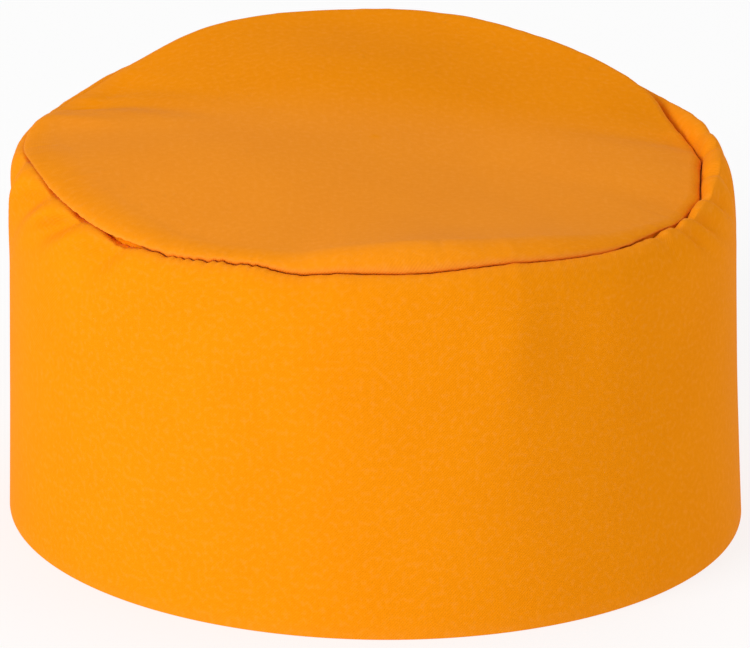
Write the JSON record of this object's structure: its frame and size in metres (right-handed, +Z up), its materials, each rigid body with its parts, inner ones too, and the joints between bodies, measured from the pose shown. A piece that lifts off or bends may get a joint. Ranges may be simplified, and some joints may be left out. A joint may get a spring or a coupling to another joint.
{
  "type": "chef skull cap",
  "caption": "Brimless chef's skull cap in orange twill, with an upright side band and a soft round top that has slouched.",
  "frame": {"origin": "middle of the rim, on the surface the cap rests on", "axes": "+Z up out of the crown; -Y is the front of the cap, and +X its right side as a viewer in front sees it"},
  "size_m": [0.1862, 0.186, 0.1057],
  "materials": {
    "twill": "matt cotton twill with a faint sheen"
  },
  "bodies": {
    "root": {"side_band": "twill", "top_panel": "twill"}
  },
  "joints": []
}
